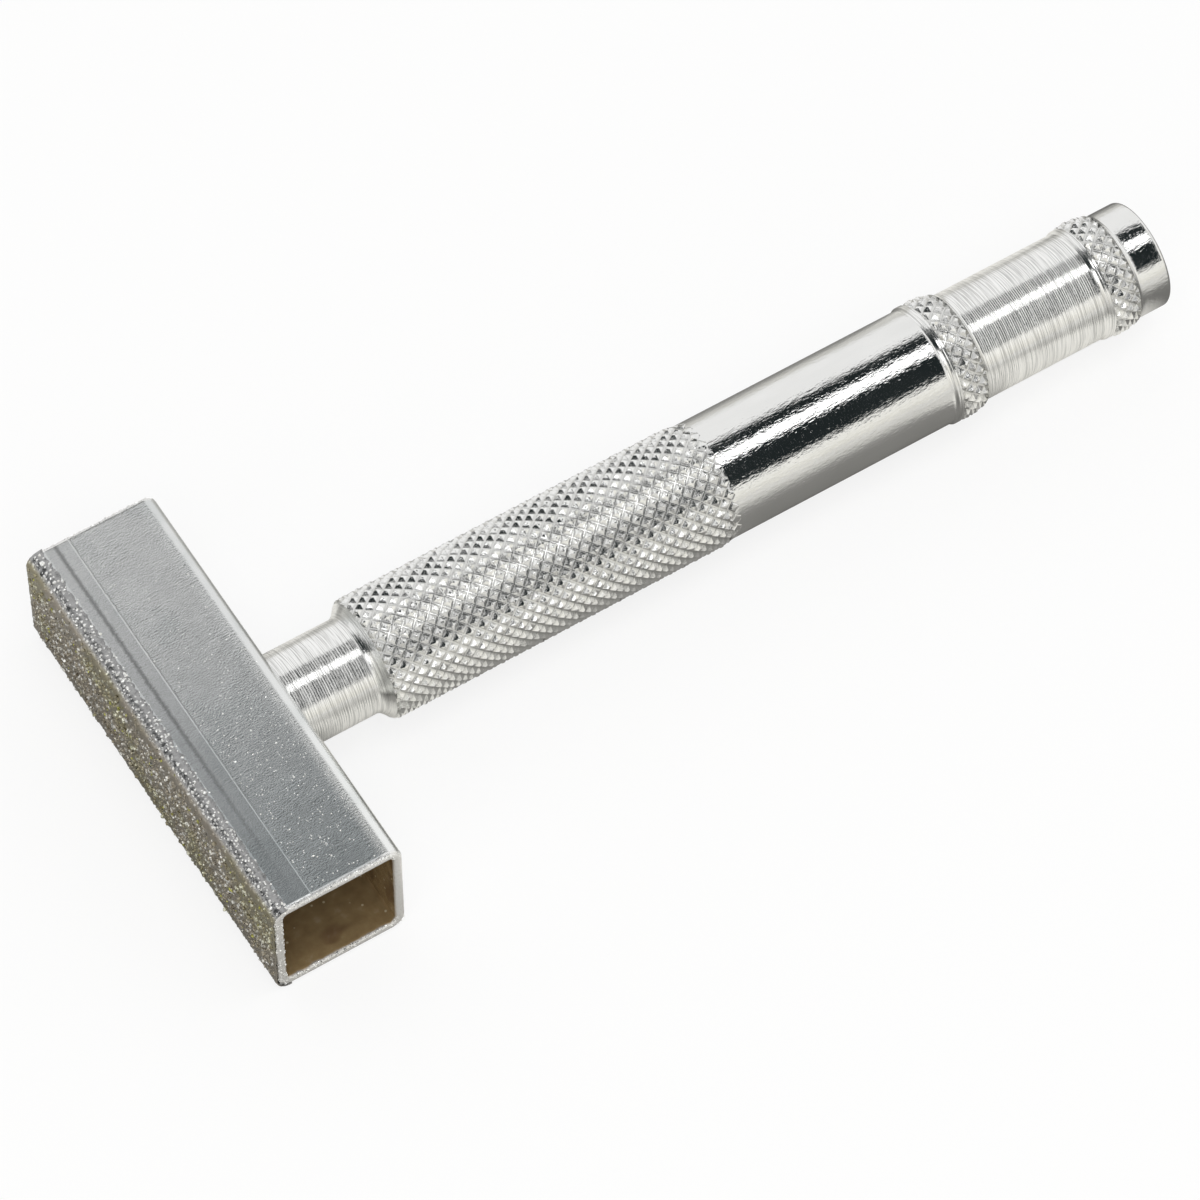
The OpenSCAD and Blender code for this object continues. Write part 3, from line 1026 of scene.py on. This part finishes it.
def makeWorld(r):
    world = bpy.data.worlds.new("studio")
    bpy.context.scene.world = world
    world.use_nodes = True
    tree = world.node_tree
    x, y, z = addNode(tree, "SeparateXYZ", {0: addNode(tree, "TexCoord").outputs["Generated"]}).outputs
    height = mathNode(tree, "ARCTAN2", z, y)
    gapHeight, backdropTop = ([math.radians(a) for a in r[key]] for key in ("gapHeight", "backdropTop"))
    gap = times(tree, fade(tree, height, *gapHeight), fade(tree, x, *r["gapSide"]))
    backdrop = times(tree, fade(tree, height, *backdropTop), fade(tree, gap, 0.0, 1.0, 1.0, r["gapTone"]))
    cards = times(tree, fade(tree, z, *r["cardTop"]), fade(tree, y, *r["cardFront"]))
    ceiling = times(tree, fade(tree, x, *r["ceilingLeft"]), fade(tree, x, *r["ceilingRight"]))
    light = mixColour(tree, ceiling, r["dark"], r["ceiling"])
    light = mixColour(tree, fade(tree, x, *r["tailCardSide"]), light, r["tailCard"])
    light = mixColour(tree, backdrop, light, r["backdrop"])
    light = mixColour(tree, cards, light, ramp(tree, z, r["cards"]))
    seen = addNode(tree, "LightPath").outputs["Is Camera Ray"]
    tree.links.new(mixColour(tree, seen, light, (1, 1, 1)), tree.nodes["Background"].inputs["Color"])


def addLamp(name, setup):
    lamp = bpy.data.lights.new(name, "AREA")
    lamp.shape = "RECTANGLE"
    lamp.size, lamp.size_y = setup["size"]
    lamp.energy = setup["power"]
    placed = bpy.data.objects.new(name, lamp)
    placed.location = setup["at"]
    if setup["aimed"]:
        placed.rotation_euler = (-Vector(setup["at"])).to_track_quat("-Z", "Y").to_euler()
    placed.visible_glossy = setup["mirrored"]
    bpy.context.scene.collection.objects.link(placed)


def makeCamera(setup):
    lens = bpy.data.cameras.new("photo_view")
    lens.lens, lens.sensor_width = setup["lens"], setup["sensor"]
    lens.clip_start, lens.clip_end = setup["clip"]
    view = bpy.data.objects.new("photo_view", lens)
    view.location = setup["place"]
    view.rotation_euler = (math.radians(setup["tilt"]), 0, math.radians(setup["turn"]))
    bpy.context.scene.collection.objects.link(view)
    bpy.context.scene.camera = view


makeFloor(ground)
makeWorld(room)
for name, setup in lamps.items():
    addLamp(name, setup)
makeCamera(shot)
bpy.context.scene.view_settings.view_transform = "Standard"
print("stage, light and camera set")
